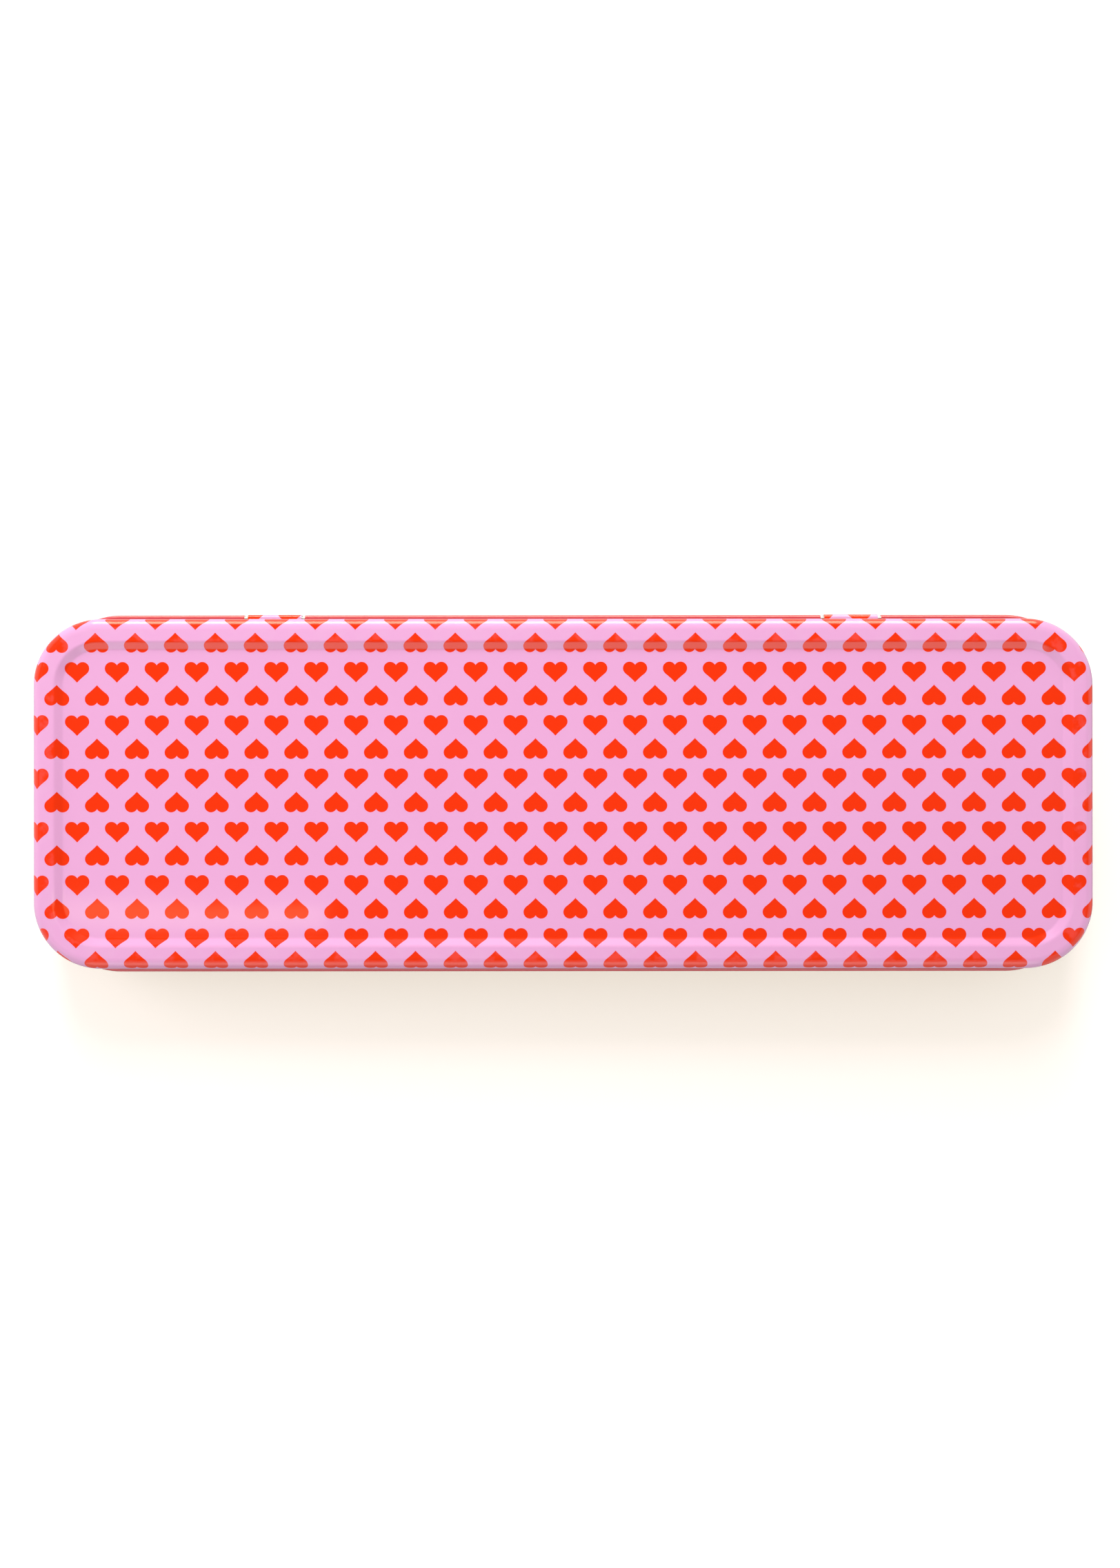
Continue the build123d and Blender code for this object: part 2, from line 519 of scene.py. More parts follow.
def show(tree, shader, output="ShaderNodeOutputMaterial"):
    """Links a shader to the surface output of its material or world."""
    tree.links.new(shader.outputs[0], put(tree, output).inputs["Surface"])


def new_finish(name):
    """A material with a Principled shader, and the place on the object."""
    finish, tree = blank_material(name)
    shader = put(tree, "ShaderNodeBsdfPrincipled")
    show(tree, shader)
    place = put(tree, "ShaderNodeTexCoord").outputs["Object"]
    return finish, tree, shader, place


def use_group(tree, group, **values):
    """The group placed in a finish, with its inputs fed."""
    return step(tree, "ShaderNodeGroup", {"node_tree": group}, **values)


# %% Helpers that mix and raise
def mix_node(tree, kind, amount, first, second):
    """Output of a Mix node of one kind."""
    node = put(tree, "ShaderNodeMix", data_type=kind)
    return feed_named(tree, node, Factor=amount, A=first, B=second).outputs["Result"]


def mixed(tree, amount, first, second):
    """Colour that goes from the first to the second as the amount goes from 0 to 1."""
    return mix_node(tree, "RGBA", amount, first, second)


def blended(tree, amount, first, second):
    """Number that goes from the first to the second as the amount goes from 0 to 1."""
    return mix_node(tree, "FLOAT", amount, first, second)


def raised_by(tree, height, distance):
    """Normal that leans as if the surface were raised by a height map."""
    return step(tree, "ShaderNodeBump", Distance=distance, Height=height)


# %% [markdown]
# ### Printed pink enamel
#
# The printer lays pink on the sheet, then orange-red hearts, then clear varnish. The shader has the same
# order: the pink drifts a little between two tones, the ink covers it, and a coat lies on top with its
# waves and scratches. The light that strong enamel throws around would tint the pale floor, so the colour
# is darker for those rays alone.

# %% Helpers for enamel
NEARLY_BLACK = (0.02, 0.02, 0.02, 1)
BOUNCE_LOST = 0.7
SCRATCH_DEPTH = 0.05
VARNISH_RELIEF = 0.00003


def rubbed(tree, colour, rub, worn_colour, share):
    """The colour, with a share of the worn colour where the enamel is rubbed."""
    return mixed(tree, maths(tree, "MULTIPLY", rub, share), colour, worn_colour)


def dimmed_bounce(tree, colour):
    """The colour, but darker where it only throws light around, so that the floor stays pale."""
    bounce = put(tree, "ShaderNodeLightPath").outputs["Is Diffuse Ray"]
    return mixed(tree, maths(tree, "MULTIPLY", bounce, BOUNCE_LOST), colour, NEARLY_BLACK)


def gloss(tree, rub, scratches, rub_dulls, smooth, worn):
    """Roughness that goes from smooth to worn where the enamel is rubbed or scratched."""
    dull = maths(tree, "MAXIMUM", maths(tree, "MULTIPLY", rub, rub_dulls), scratches)
    return blended(tree, dull, smooth, worn)


def varnish_height(tree, place, scratches):
    """Height of the varnish, with the scratches cut into it."""
    waves = use_group(tree, varnish_wave, Place=place, Peel=1.0, Sway=1.0)
    return maths(tree, "SUBTRACT", waves, maths(tree, "MULTIPLY", scratches, SCRATCH_DEPTH))


# %% The pink finish of the base
PINK = (0.865, 0.425, 0.705, 1)
PINK_DEEP = (0.85, 0.405, 0.69, 1)
PINK_RUBBED = (0.86, 0.62, 0.74, 1)
HEART_RED = (0.955, 0.034, 0.0, 1)
INK_HEIGHT = 0.02

pink_enamel, tree, shader, place = new_finish("pink_heart_enamel")
sheet_map = put(tree, "ShaderNodeUVMap", uv_map="sheet").outputs[0]
ink = use_group(tree, heart_print, Sheet=sheet_map)
scratches = use_group(tree, fine_scratches, Place=place, Amount=0.35)
rub = use_group(tree, table_rub, Place=place, Contact_Height=0.0)
ground = mixed(tree, noise_at(tree, place, 60), PINK, PINK_DEEP)
colour = mixed(tree, ink, ground, HEART_RED)
colour = rubbed(tree, colour, rub, PINK_RUBBED, share=0.05)
feed_named(tree, shader, Base_Color=dimmed_bounce(tree, colour))
rough = gloss(tree, rub, scratches, rub_dulls=0.4, smooth=0.32, worn=0.45)
feed_named(tree, shader, Roughness=rough)
height = varnish_height(tree, place, scratches)
height = maths(tree, "ADD", height, maths(tree, "MULTIPLY", ink, INK_HEIGHT))
feed_named(tree, shader, Normal=raised_by(tree, height, VARNISH_RELIEF))
feed_named(tree, shader, Specular_IOR_Level=0.06, Coat_Weight=0.8, Coat_Roughness=0.11)
tell(pink_enamel)

# %% [markdown]
# ### Cherry red enamel
#
# The lid is cherry red on both faces, because its hem is rolled outwards and so shows the sheet's inner
# face, which is red in the photograph. It is made like the pink, without the hearts.

# %% The red finish of the lid
CHERRY = (0.73, 0.05, 0.07, 1)
CHERRY_DEEP = (0.66, 0.042, 0.06, 1)
CHERRY_RUBBED = (0.75, 0.2, 0.2, 1)

red_enamel, tree, shader, place = new_finish("cherry_enamel")
scratches = use_group(tree, fine_scratches, Place=place, Amount=0.5)
rub = use_group(tree, table_rub, Place=place, Contact_Height=LID_TOP * MM)
colour = mixed(tree, noise_at(tree, place, 45), CHERRY, CHERRY_DEEP)
colour = rubbed(tree, colour, rub, CHERRY_RUBBED, share=0.04)
feed_named(tree, shader, Base_Color=dimmed_bounce(tree, colour))
rough = gloss(tree, rub, scratches, rub_dulls=0.15, smooth=0.3, worn=0.5)
feed_named(tree, shader, Roughness=rough)
height = varnish_height(tree, place, scratches)
feed_named(tree, shader, Normal=raised_by(tree, height, VARNISH_RELIEF))
feed_named(tree, shader, Specular_IOR_Level=0.3, Coat_Weight=0.6, Coat_Roughness=0.1)
tell(red_enamel)

# %% [markdown]
# ### Bare metals
#
# Tinplate comes from the mill with a faint grain along its length, and wire from its die with fine lines.
# Both are noise stretched along X, which is the length of sheet and wire alike. It changes the colour
# only a little and the roughness more, because on bare metal it is the gloss that shows a grain.

# %% Bare tinplate, with the grain of the rolling mill
TIN = (0.79, 0.78, 0.775, 1)
TIN_DULL = (0.69, 0.68, 0.675, 1)
SCRATCH_IN_TIN = 0.3
GRAIN_RELIEF = 0.000004

bare_tinplate, tree, shader, place = new_finish("bare_tinplate")
scratches = use_group(tree, fine_scratches, Place=place, Amount=0.8)
grain = noise_at(tree, stretched(tree, place, (25, 2600, 2600)), 1, 3)
rough = blended(tree, grain, 0.26, 0.44)
height = maths(tree, "SUBTRACT", grain, maths(tree, "MULTIPLY", scratches, SCRATCH_IN_TIN))
feed_named(
    tree, shader, Metallic=1,
    Base_Color=mixed(tree, grain, TIN, TIN_DULL),
    Roughness=blended(tree, scratches, rough, 0.5),
    Normal=raised_by(tree, height, GRAIN_RELIEF),
)
tell(bare_tinplate)

# %% Drawn steel wire, with die lines along it
STEEL = (0.66, 0.65, 0.63, 1)
STEEL_DULL = (0.5, 0.49, 0.47, 1)
DIE_RELIEF = 0.000005

drawn_steel, tree, shader, place = new_finish("drawn_steel")
die_lines = noise_at(tree, stretched(tree, place, (60, 9000, 9000)), 1)
feed_named(
    tree, shader, Metallic=1,
    Base_Color=mixed(tree, die_lines, STEEL, STEEL_DULL),
    Roughness=blended(tree, die_lines, 0.25, 0.45),
    Normal=raised_by(tree, die_lines, DIE_RELIEF),
)
tell(drawn_steel)

# %% [markdown]
# ## The drawn sheet
#
# A press draws base and lid alike: the middle stays flat, and the section follows its edge all the way
# round. That could be modelled twice by hand, but one rule holds for both. So in Geometry Nodes the flat
# panel's outline is a rectangle with rounded corners, the section is swept along it, and the panel fills
# it.

# %% Helpers that write a Geometry Nodes tree
def geometry_tree(name, inputs):
    """A new tree with a geometry in and out and named inputs. Gives the tree, its inputs and its end."""
    tree = bpy.data.node_groups.new(name, "GeometryNodeTree")
    tree.interface.new_socket("Geometry", in_out="INPUT", socket_type="NodeSocketGeometry")
    for label, kind in inputs:
        tree.interface.new_socket(label, in_out="INPUT", socket_type=kind)
    tree.interface.new_socket("Geometry", in_out="OUTPUT", socket_type="NodeSocketGeometry")
    tree_in = tree.nodes.new("NodeGroupInput")
    tree_out = tree.nodes.new("NodeGroupOutput")
    return tree, tree_in.outputs, tree_out.inputs[0]


def section_curve(tree, section):
    """The section as a curve. Its points keep the length of sheet before them."""
    info = feed_named(tree, put(tree, "GeometryNodeObjectInfo"), Object=section)
    return step(tree, "GeometryNodeMeshToCurve", Mesh=info.outputs["Geometry"])


# %% The tree that draws a shell round its flat panel
drawn_sheet, given, result = geometry_tree("drawn_sheet", [
    ("Section", "NodeSocketObject"),
    ("Corner X", FLOAT),
    ("Corner Y", FLOAT),
    ("Panel Radius", FLOAT),
    ("Panel Height", FLOAT),
    ("Corner Steps", "NodeSocketInt"),
    ("Side Cuts", "NodeSocketInt"),
    ("Turn Over", "NodeSocketBool"),
    ("Finish", "NodeSocketMaterial"),
])
tree = drawn_sheet
half_width = maths(tree, "ADD", given["Corner X"], given["Panel Radius"])
half_depth = maths(tree, "ADD", given["Corner Y"], given["Panel Radius"])
outline = step(tree, "GeometryNodeCurvePrimitiveQuadrilateral",
               Width=maths(tree, "MULTIPLY", half_width, 2),
               Height=maths(tree, "MULTIPLY", half_depth, 2))
rounded = step(tree, "GeometryNodeFilletCurve", {"mode": "POLY"},
               Curve=outline, Count=given["Corner Steps"], Radius=given["Panel Radius"])
tell(drawn_sheet)

# %% [markdown]
# ### Even sides, sweep and panel
#
# A rounded corner has many points and a straight side none between its ends, which would make very long
# thin faces. So each side is cut up too, by asking each point whether it is the last of its corner. The
# swept section and the filled panel then share their edge points, and merging by distance joins them into
# one sheet.

# %% The sweep and the panel, joined
SEAM = 2e-6

index = put(tree, "GeometryNodeInputIndex").outputs[0]
points_in_corner = maths(tree, "ADD", given["Corner Steps"], 1)
place_in_corner = maths(tree, "MODULO", index, points_in_corner)
last_in_corner = maths(tree, "COMPARE", place_in_corner, given["Corner Steps"], 0.5)
cuts = maths(tree, "MULTIPLY", last_in_corner, given["Side Cuts"])
path = step(tree, "GeometryNodeSubdivideCurve", Curve=rounded, Cuts=cuts)
level_path = step(tree, "GeometryNodeSetCurveNormal", {"mode": "Z_UP"}, Curve=path)
swept = step(tree, "GeometryNodeCurveToMesh",
             Curve=level_path, Profile_Curve=section_curve(tree, given["Section"]))
panel = step(tree, "GeometryNodeFillCurve", {"mode": "NGONS"}, Curve=path)
lift = step(tree, "ShaderNodeCombineXYZ", Z=given["Panel Height"])
panel = step(tree, "GeometryNodeSetPosition", Geometry=panel, Offset=lift)
both = put(tree, "GeometryNodeJoinGeometry")
tree.links.new(panel, both.inputs[0])
tree.links.new(swept, both.inputs[0])
shell = step(tree, "GeometryNodeMergeByDistance", Geometry=both.outputs[0], Distance=SEAM)
turned = step(tree, "GeometryNodeFlipFaces", Mesh=shell)
facing = step(tree, "GeometryNodeSwitch", {"input_type": "GEOMETRY"},
              Switch=given["Turn Over"], **{"False": shell, "True": turned})
tell(drawn_sheet)

# %% [markdown]
# ### The print's place on the sheet
#
# The print was on the sheet while it was still flat. So the tree also stores, for every point, where it
# was on the flat sheet: straight out from the nearest point of the corner frame, by the length of sheet
# between them. Hearts then run over the foot and up the wall as they do on the real tin, and crowd at the
# corners.

# %% Helpers for places on the flat sheet
def vector_maths(tree, operation, *values):
    """A Vector Math node on some values, and its output."""
    return maths(tree, operation, *values, kind="ShaderNodeVectorMath")


def developed_length(tree):
    """The length of sheet before each point, carried over from the section."""
    return step(tree, "GeometryNodeInputNamedAttribute", {"data_type": "FLOAT"}, Name="developed")


def store_sheet_map(tree, geometry, value):
    """Stores a vector as the UV map of places on the flat sheet."""
    kind = {"data_type": "FLOAT2", "domain": "CORNER"}
    return step(tree, "GeometryNodeStoreNamedAttribute", kind, Geometry=geometry, Name="sheet", Value=value)


# %% The shell with its map, smooth and painted
position = put(tree, "GeometryNodeInputPosition").outputs[0]
flat = vector_maths(tree, "MULTIPLY", position, (1, 1, 0))
corner = step(tree, "ShaderNodeCombineXYZ", X=given["Corner X"], Y=given["Corner Y"])
other_corner = vector_maths(tree, "MULTIPLY", corner, (-1, -1, -1))
frame_point = vector_maths(tree, "MINIMUM", flat, corner)
frame_point = vector_maths(tree, "MAXIMUM", frame_point, other_corner)
outwards = vector_maths(tree, "NORMALIZE", vector_maths(tree, "SUBTRACT", flat, frame_point))
reach = maths(tree, "ADD", developed_length(tree), given["Panel Radius"])
spread = put(tree, "ShaderNodeVectorMath", operation="SCALE")
feed(tree, outwards, spread.inputs[0])
feed(tree, reach, spread.inputs["Scale"])
on_sheet = vector_maths(tree, "ADD", frame_point, spread.outputs[0])
mapped = store_sheet_map(tree, facing, on_sheet)
smooth = step(tree, "GeometryNodeSetShadeSmooth", Geometry=mapped)
single = step(tree, "GeometryNodeRealizeInstances", Geometry=smooth)
painted = step(tree, "GeometryNodeSetMaterial", Geometry=single, Material=given["Finish"])
feed(tree, painted, result)
tell(drawn_sheet)

# %% [markdown]
# ## The bent strip
#
# A tongue is a strip with the same section all along its width. Two copies of it could be placed by hand,
# but they have to stay alike. So the second tree sweeps the section along a short line once, sets a copy
# at each hinge place, and carries the print on from the wall.

# %% The tree that bends the tongues
bent_strip, given, result = geometry_tree("bent_strip", [
    ("Section", "NodeSocketObject"),
    ("Width", FLOAT),
    ("Place X", FLOAT),
    ("Root Y", FLOAT),
    ("Print Start", FLOAT),
    ("Finish", "NodeSocketMaterial"),
])
tree = bent_strip
half = maths(tree, "MULTIPLY", given["Width"], 0.5)
line = step(tree, "GeometryNodeCurvePrimitiveLine",
            Start=step(tree, "ShaderNodeCombineXYZ", X=half),
            End=step(tree, "ShaderNodeCombineXYZ", X=maths(tree, "MULTIPLY", half, -1)))
line = step(tree, "GeometryNodeSetCurveNormal", {"mode": "Z_UP"}, Curve=line)
strip = step(tree, "GeometryNodeCurveToMesh",
             Curve=line, Profile_Curve=section_curve(tree, given["Section"]))
left = maths(tree, "MULTIPLY", given["Place X"], -1)
apart = maths(tree, "MULTIPLY", given["Place X"], 2)
places = step(tree, "GeometryNodeMeshLine", Count=2,
              Start_Location=step(tree, "ShaderNodeCombineXYZ", X=left, Y=given["Root Y"]),
              Offset=step(tree, "ShaderNodeCombineXYZ", X=apart))
outside_out = step(tree, "GeometryNodeFlipFaces", Mesh=strip)
copies = step(tree, "GeometryNodeInstanceOnPoints", Points=places, Instance=outside_out)
single = step(tree, "GeometryNodeRealizeInstances", Geometry=copies)
position = put(tree, "GeometryNodeInputPosition").outputs[0]
along = maths(tree, "ADD", developed_length(tree), given["Print Start"])
on_sheet = step(tree, "ShaderNodeCombineXYZ", X=parts_of(tree, position)["X"], Y=along)
mapped = store_sheet_map(tree, single, on_sheet)
smooth = step(tree, "GeometryNodeSetShadeSmooth", Geometry=mapped)
painted = step(tree, "GeometryNodeSetMaterial", Geometry=smooth, Material=given["Finish"])
feed(tree, painted, result)
tell(bent_strip)

# %% [markdown]
# ## From tree to piece
#
# The tree gives only the coloured face of the sheet. Solidify then adds the sheet's real thickness on the
# other side, with the finish of the inner face. The result is turned into a plain mesh, because the
# exported model has no modifiers, and its cut edges are marked sharp so that they catch the light.

# %% Helpers that run a tree and keep its mesh
SHARP_ANGLE = 35


def run_tree(name, tree, values):
    """A new object whose mesh comes from the tree, with the tree's inputs set by their identifiers."""
    made = new_object(name, bpy.data.meshes.new(name))
    modifier = made.modifiers.new("tree", "NODES")
    modifier.node_group = tree
    for item in tree.interface.items_tree:
        if item.in_out == "INPUT" and item.name in values:
            modifier[item.identifier] = values[item.name]
    return made


def open_edges(mesh):
    """How many edges aren't shared by exactly two faces."""
    count = [0] * len(mesh.edges)
    for polygon in mesh.polygons:
        for key in polygon.loop_indices:
            count[mesh.loops[key].edge_index] += 1
    return sum(1 for faces in count if faces != 2)


def plain_mesh(made):
    """Turns the shape so far into a plain mesh, with no modifiers left."""
    bpy.context.view_layer.update()
    depsgraph = bpy.context.evaluated_depsgraph_get()
    mesh = bpy.data.meshes.new_from_object(made.evaluated_get(depsgraph))
    made.modifiers.clear()
    made.data = mesh
    mesh.set_sharp_from_angle(angle=radians(SHARP_ANGLE))
    mesh.calc_loop_triangles()
    print(made.name, len(mesh.loop_triangles), "triangles,", open_edges(mesh), "open edges")


# %% Helpers that turn a coloured face into tinplate
def paint_sheet(made, finishes):
    """One slot for each finish. The coloured face takes the first."""
    made.data.materials.clear()
    for finish in finishes:
        made.data.materials.append(finish)
    made.data.polygons.foreach_set("material_index", [0] * len(made.data.polygons))


def give_thickness(made, inner_slot, edge_slot):
    """Sheet thickness behind the coloured face."""
    modifier = made.modifiers.new("thickness", "SOLIDIFY")
    modifier.thickness = SHEET * MM
    modifier.offset = -1
    modifier.use_even_offset = True
    modifier.material_offset = inner_slot
    modifier.material_offset_rim = edge_slot


# %% [markdown]
# ### Openings
#
# The window behind each tongue and the notch round each knuckle are punched through the finished sheet.
# Their outlines could be worked into the mesh by hand, but the hem and the rounded wall cross them. An
# exact Boolean cuts them as a punch would, and the block that cuts gives its own finish, bare tinplate,
# to the new edges.

# %% Helpers that punch
QUARTER_STEPS = 6
QUARTERS = ((1, 1), (-1, 1), (-1, -1), (1, -1))


def rounded_block(name, centres, size, corner_radius):
    """Blocks that stand in for the punch, with rounded corners seen along Y."""
    build = bmesh.new()
    for centre in centres:
        outline = []
        for quarter, (side_x, side_z) in enumerate(QUARTERS):
            for turn in range(QUARTER_STEPS + 1):
                angle = pi / 2 * (quarter + turn / QUARTER_STEPS)
                x = centre[0] + side_x * (size[0] / 2 - corner_radius) + corner_radius * cos(angle)
                z = centre[2] + side_z * (size[2] / 2 - corner_radius) + corner_radius * sin(angle)
                outline.append((x, z))
        rings = []
        for y in (centre[1] - size[1] / 2, centre[1] + size[1] / 2):
            rings.append([build.verts.new((x * MM, y * MM, z * MM)) for x, z in outline])
        build.faces.new(rings[0])
        build.faces.new(reversed(rings[1]))
        for i in range(len(outline)):
            j = (i + 1) % len(outline)
            build.faces.new((rings[0][j], rings[0][i], rings[1][i], rings[1][j]))
    bmesh.ops.recalc_face_normals(build, faces=build.faces)
    mesh = bpy.data.meshes.new(name)
    build.to_mesh(mesh)
    build.free()
    mesh.materials.append(bare_tinplate)
    made = new_object(name, mesh)
    made.hide_render = True
    return made


def punch(made, cutter):
    """Openings cut with an exact Boolean."""
    modifier = made.modifiers.new("punch", "BOOLEAN")
    modifier.operation = "DIFFERENCE"
    modifier.solver = "EXACT"
    modifier.object = cutter
    modifier.material_mode = "TRANSFER"


# %% A helper that carries a shell through the whole press
CORNER_STEPS = 26
SIDE_CUTS = 8


def pressed_shell(name, section, panel_radius, panel_height, turn_over, finish, inner_slot, cutter):
    """A shell swept from its section, with its thickness and its openings. Slot 1 is bare tinplate."""
    made = run_tree(name, drawn_sheet, {
        "Section": section,
        "Corner X": CORNER_X * MM,
        "Corner Y": CORNER_Y * MM,
        "Panel Radius": panel_radius * MM,
        "Panel Height": panel_height * MM,
        "Corner Steps": CORNER_STEPS,
        "Side Cuts": SIDE_CUTS,
        "Turn Over": turn_over,
        "Finish": finish,
    })
    plain_mesh(made)
    paint_sheet(made, [finish, bare_tinplate])
    give_thickness(made, inner_slot, 1)
    punch(made, cutter)
    plain_mesh(made)
    return made


# %% The base's shell, with a window behind each tongue
windows = rounded_block(
    "window_punch",
    [(x, WALL_Y, (WINDOW_BOTTOM + WINDOW_TOP) / 2) for x in (-HINGE_X, HINGE_X)],
    (WINDOW_WIDTH, 4 * SHEET, WINDOW_TOP - WINDOW_BOTTOM), WINDOW_CORNER_RADIUS)
base_shell = pressed_shell(
    "base_shell", base_section, base_panel_radius, PANEL_RECESS,
    turn_over=True, finish=pink_enamel, inner_slot=1, cutter=windows)

# %% The two tongues
hinge_tongues = run_tree("hinge_tongues", bent_strip, {
    "Section": tongue_section,
    "Width": TONGUE_WIDTH * MM,
    "Place X": HINGE_X * MM,
    "Root Y": WALL_Y * MM,
    "Print Start": TONGUE_PRINT_START * MM,
    "Finish": pink_enamel,
})
plain_mesh(hinge_tongues)
paint_sheet(hinge_tongues, [pink_enamel, bare_tinplate])
give_thickness(hinge_tongues, 1, 1)
plain_mesh(hinge_tongues)

# %% The lid's shell, with a notch for each knuckle
notches = rounded_block(
    "notch_punch",
    [(x, HINGE_Y, HINGE_HEIGHT) for x in (-HINGE_X, HINGE_X)],
    (NOTCH_WIDTH, 4 * (WIRE_RADIUS + SHEET), 2 * (NOTCH_TOP - HINGE_HEIGHT)), NOTCH_CORNER_RADIUS)
lid_shell = pressed_shell(
    "lid_shell", lid_section, lid_panel_radius, LID_TOP,
    turn_over=False, finish=red_enamel, inner_slot=0, cutter=notches)

for helper in (base_section, lid_section, tongue_section, windows, notches):
    bpy.data.objects.remove(helper)

# %% [markdown]
# ## Fixing the pieces to the frame
#
# The shell and the tongues stand for the CAD's base, and the lid's shell for the CAD's lid. The wires are
# round in the CAD already, so they keep their own mesh and only get their finish.

# %% Bodies and the wires' finish
for piece, body, node, slot_name in (
    (base_shell, "base", "base_tray", "printed_pink_enamel"),
    (hinge_tongues, "base", "base_tray", "printed_pink_enamel"),
    (lid_shell, "lid", "lid", "red_enamel"),
):
    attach(piece, body)
    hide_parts(node)

for node_name in ("hinge_wire_left", "hinge_wire_right"):
    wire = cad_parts[node_name]
    wire.data.materials.clear()
    wire.data.materials.append(drawn_steel)

# %% [markdown]
# ## Floor and table
#
# The tin stands on a pale floor in most views, but the photograph looks at its underside, lying on a
# white table. One plane can't be both, so there are two, each shown only from its own side: the floor a
# hair below the foot, seen from above, and the table a hair past the lid's top, seen from below. Neither
# blocks any light, so each only adds its surface and the tin's shadow on it. Both glow a little and fade
# to pure white farther away.

# %% The finish of a plane that has only one side
FADE_STARTS = 0.3
FADE_ENDS = 1.2


def one_sided_finish(name, colour, lift):
    """A dull finish with a little glow, see-through from behind, that fades to white far off."""
    finish, tree = blank_material(name)
    paint = put(tree, "ShaderNodeBsdfDiffuse")
    paint.inputs["Color"].default_value = colour
    place = put(tree, "ShaderNodeTexCoord").outputs["Object"]
    how_far = put(tree, "ShaderNodeVectorMath", operation="LENGTH")
    feed(tree, place, how_far.inputs[0])
    far_off = soft_step(tree, how_far.outputs["Value"], FADE_STARTS, FADE_ENDS)
    glow = put(tree, "ShaderNodeEmission")
    feed(tree, mixed(tree, far_off, lift, WHITE), glow.inputs["Color"])
    both = put(tree, "ShaderNodeAddShader")
    tree.links.new(paint.outputs[0], both.inputs[0])
    tree.links.new(glow.outputs[0], both.inputs[1])
    gone = put(tree, "ShaderNodeBsdfTransparent")
    side = put(tree, "ShaderNodeMixShader")
    back = put(tree, "ShaderNodeNewGeometry").outputs["Backfacing"]
    tree.links.new(back, side.inputs[0])
    tree.links.new(both.outputs[0], side.inputs[1])
    tree.links.new(gone.outputs[0], side.inputs[2])
    show(tree, side)
    return finish


# %% Two one-sided planes
PLANE_REACH = 4
HAIR = 0.0001
FLOOR_PALE = (0.92, 0.90, 0.88, 1)
FLOOR_GLOW = (0.25, 0.26, 0.255, 1)
TABLE_PALE = (0.93, 0.78, 0.84, 1)
TABLE_GLOW = (0.375, 0.41, 0.29, 1)


def four_sided(name, corners, order, finish):
    """One flat face with its finish, as an object."""
    mesh = bpy.data.meshes.new(name)
    mesh.from_pydata(corners, [], [order])
    mesh.materials.append(finish)
    return new_object(name, mesh)


def pale_plane(name, height, up, colour, lift):
    """A large plane that only the camera sees, and only from its front."""
    corners = [(x * PLANE_REACH, y * PLANE_REACH, height) for x, y in ((-1, -1), (1, -1), (1, 1), (-1, 1))]
    order = (0, 1, 2, 3) if up else (3, 2, 1, 0)
    plane = four_sided(name, corners, order, one_sided_finish(name, colour, lift))
    plane.visible_diffuse = False
    plane.visible_glossy = False
    plane.visible_transmission = False
    plane.visible_shadow = False
    print(name, "at", round(height * 1000, 2), "mm")


pale_plane("floor", -HAIR, up=True, colour=FLOOR_PALE, lift=FLOOR_GLOW)
pale_plane("table", cad_box[1].z + HAIR, up=False, colour=TABLE_PALE, lift=TABLE_GLOW)

# %% [markdown]
# ## Reflections
#
# Varnish mirrors the room round it, and that room isn't modelled. A picture of a room could wrap the
# world, but then nobody could say what each gleam is. So the reflections are painted with glowing cards
# where the room's parts are: the dim side behind the photographer, the window's pane, a pale wall across
# from it, a warm strip that paints a highlight washing out a few hearts, and a painted copy of the tin's
# own shadow on the table. They light nothing.

# %% Cards that paint reflections, seen only by mirrors
def painted_reflection_card(name, low, high, colour, strength):
    """A glowing card between two opposite corners that paints a reflection and shows only in reflections."""
    finish, tree = blank_material(name)
    glow = put(tree, "ShaderNodeEmission")
    feed_named(tree, glow, Color=colour, Strength=strength)
    show(tree, glow)
    corners = [low, (high[0], low[1], low[2]), high, (low[0], high[1], high[2])]
    card = four_sided(name, corners, (0, 1, 2, 3), finish)
    card.visible_camera = False
    card.visible_diffuse = False
    card.visible_transmission = False
    card.visible_shadow = False
    print(name, "glows with strength", strength)


WINDOW_GLOW = (1, 0.95, 0.7, 1)
WARM = (1, 0.95, 0.5, 1)
FRONT_SHADOW = (1, 0.95, 0.9, 1)
SIDE_SHADOW = (0.92, 0.95, 1, 1)
# The shadow cards paint the tin's shadow on the table for mirrors, and lie by the table, just past the lid's
# top.
BY_TABLE = 0.0211

painted_reflection_card("dim_room", (-1.2, -0.4, -0.6), (1.2, 0.9, -0.6), WHITE, 0.05)
painted_reflection_card("bright_pane", (-0.3, 0.45, -0.17), (0.28, 0.45, 0.05), WINDOW_GLOW, 9)
painted_reflection_card("pale_wall", (-0.42, -0.6, -0.5), (0.42, -0.6, -0.1), WHITE, 2.6)
# Painted highlight: a small warm card that mirrors show as a wash over a few hearts.
painted_reflection_card("warm_strip", (0.056, -0.0277, -0.06), (0.114, -0.0228, -0.06), WARM, 2.1)
painted_reflection_card("shadow_in_front", (-0.12, -0.15, BY_TABLE), (0.12, -0.036, BY_TABLE), FRONT_SHADOW, 0.45)
painted_reflection_card("shadow_beside", (-0.17, -0.036, BY_TABLE), (-0.102, 0.034, BY_TABLE), SIDE_SHADOW, 0.45)

# %% [markdown]
# ## Light
#
# The photograph is lit by a window on the hinge side, softly, with a white room round it. The world gives
# plain even light and shows white where it is seen or mirrored. Below the tin a soft lamp stands for the
# window and a weaker one for the pale wall at the picture's left. One above lights the upright tin.

# %% World
EVEN_LIGHT = 0.62
SEEN_LIGHT = 1.0

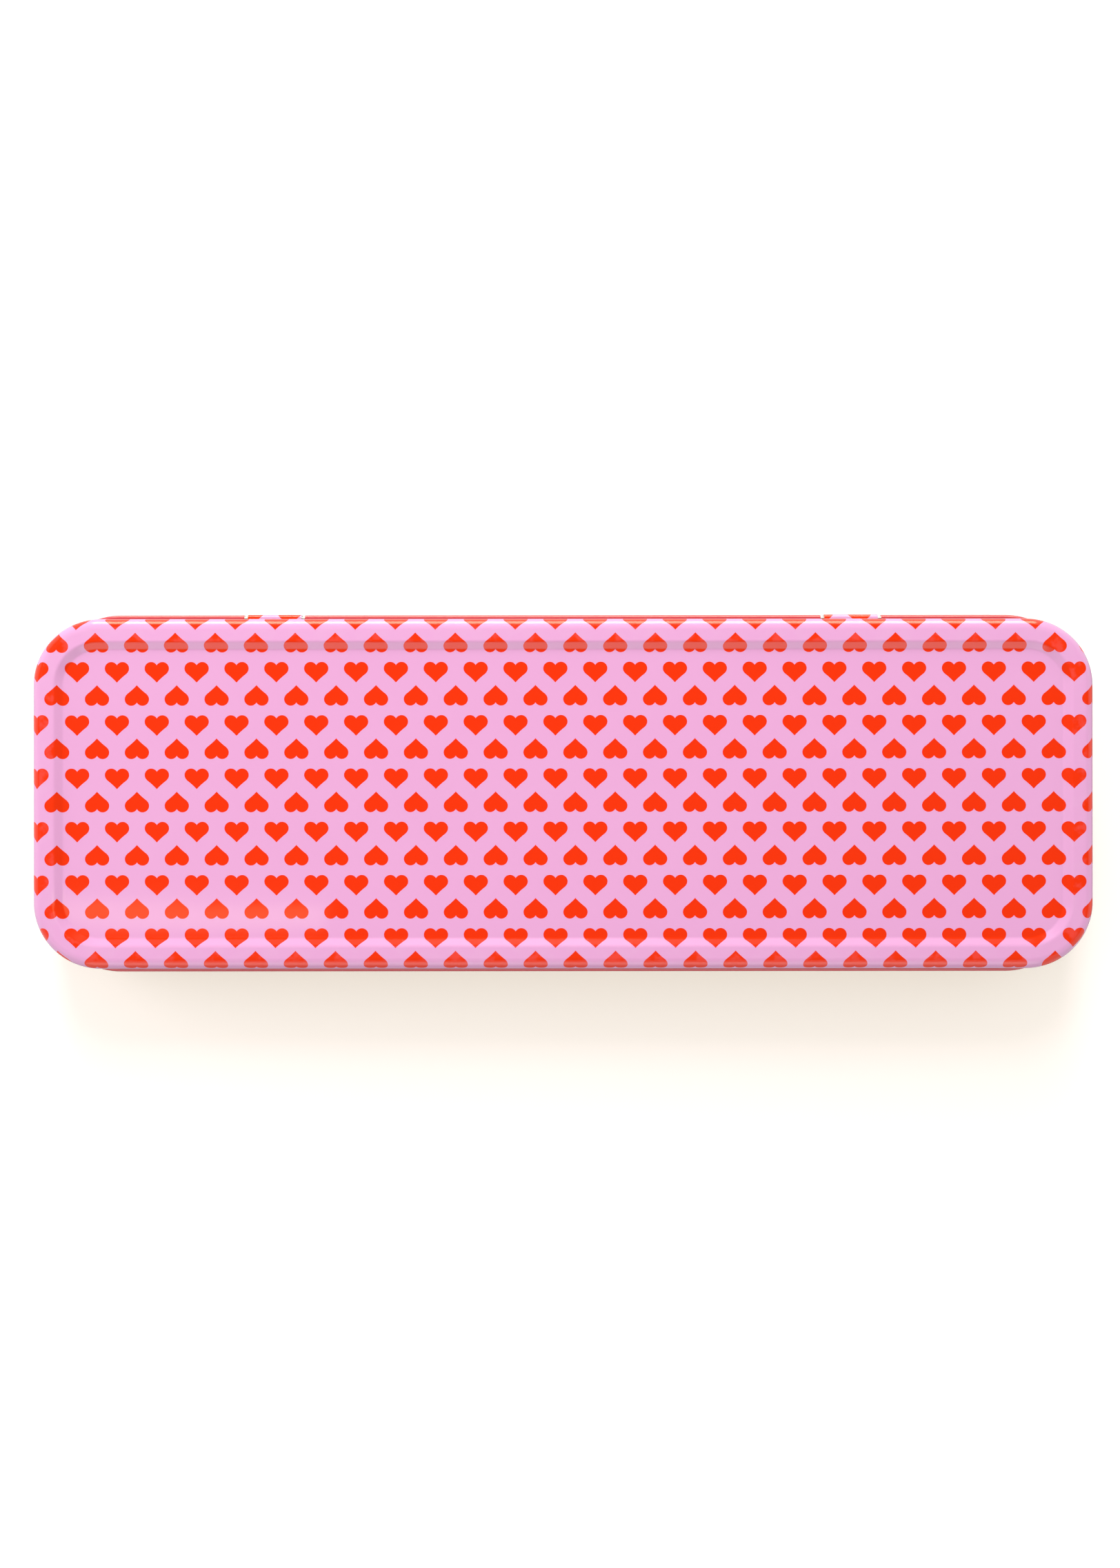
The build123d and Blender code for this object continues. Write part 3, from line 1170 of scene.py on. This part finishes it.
world = bpy.data.worlds.new("white_room")
bpy.context.scene.world = world
world.use_nodes = True
tree = world.node_tree
tree.nodes.clear()
rays = put(tree, "ShaderNodeLightPath")
seen = maths(tree, "MAXIMUM", rays.outputs["Is Camera Ray"], rays.outputs["Is Glossy Ray"])
seen = maths(tree, "MAXIMUM", seen, rays.outputs["Is Transmission Ray"])
even = step(tree, "ShaderNodeBackground", Color=WHITE, Strength=EVEN_LIGHT)
white = step(tree, "ShaderNodeBackground", Color=WHITE, Strength=SEEN_LIGHT)
choose = put(tree, "ShaderNodeMixShader")
for value, socket in zip((seen, even, white), choose.inputs):
    tree.links.new(value, socket)
show(tree, choose, "ShaderNodeOutputWorld")
print("World lights with", EVEN_LIGHT, "and shows", SEEN_LIGHT)

# %% Soft lamps
MIDDLE_OF_TIN = (0, 0, 0.01)
ROOM_LIGHT = (1.0, 0.99, 1.0)
DAY_LIGHT = (1.0, 0.99, 0.97)


def soft_lamp(name, place, size, power, colour, mirrored):
    """A rectangular lamp that looks at the tin. Its size is its width and its height."""
    light = bpy.data.lights.new(name, "AREA")
    light.shape = "RECTANGLE"
    light.size, light.size_y = size
    light.energy = power
    light.color = colour
    lamp = new_object(name, light)
    lamp.location = place
    lamp.rotation_euler = (Vector(MIDDLE_OF_TIN) - Vector(place)).to_track_quat("-Z", "Y").to_euler()
    lamp.visible_glossy = mirrored
    print(name, "gives", power, "W")


soft_lamp("window_below", (0.02, 0.48, -0.34), (0.16, 0.36), 2.3, ROOM_LIGHT, mirrored=False)
soft_lamp("wall_below", (0.40, 0.10, -0.22), (0.40, 0.40), 0.55, ROOM_LIGHT, mirrored=False)
soft_lamp("window_above", (-0.25, -0.30, 0.55), (0.62, 0.62), 1.6, DAY_LIGHT, mirrored=True)

# %% [markdown]
# ## Camera
#
# The photograph was taken from straight above the upturned tin. In the tin's own frame that is straight
# below it, with the hinge side at the top of the picture and the right end at its left. The distance
# comes from how much the hem is hidden behind the base at its front and shows at its back.

# %% Camera below the tin
DISTANCE = 0.23
LENS = 28.745
ROLL = -0.045
AIM = Vector((0.00057, 0.00178, 0))

camera_data = bpy.data.cameras.new("camera")
camera_data.sensor_width = 36
camera_data.lens = LENS
camera_data.clip_start = 0.005
camera_data.clip_end = 50
camera = new_object("camera", camera_data)
bpy.context.scene.camera = camera
looking_up = Matrix(((-1, 0, 0), (0, 1, 0), (0, 0, -1))).to_4x4()
rolled = looking_up @ Matrix.Rotation(radians(ROLL), 4, "Z")
line_of_sight = rolled.to_3x3() @ Vector((0, 0, -1))
camera.matrix_world = Matrix.Translation(AIM - line_of_sight * DISTANCE) @ rolled
print("Camera at", [round(value, 5) for value in camera.location])
print("It looks along", [round(value, 4) for value in line_of_sight])

# %% [markdown]
# ## Hand over
#
# The Standard view shows a colour about as it is written.

# %% Colour management
bpy.context.scene.view_settings.view_transform = "Standard"
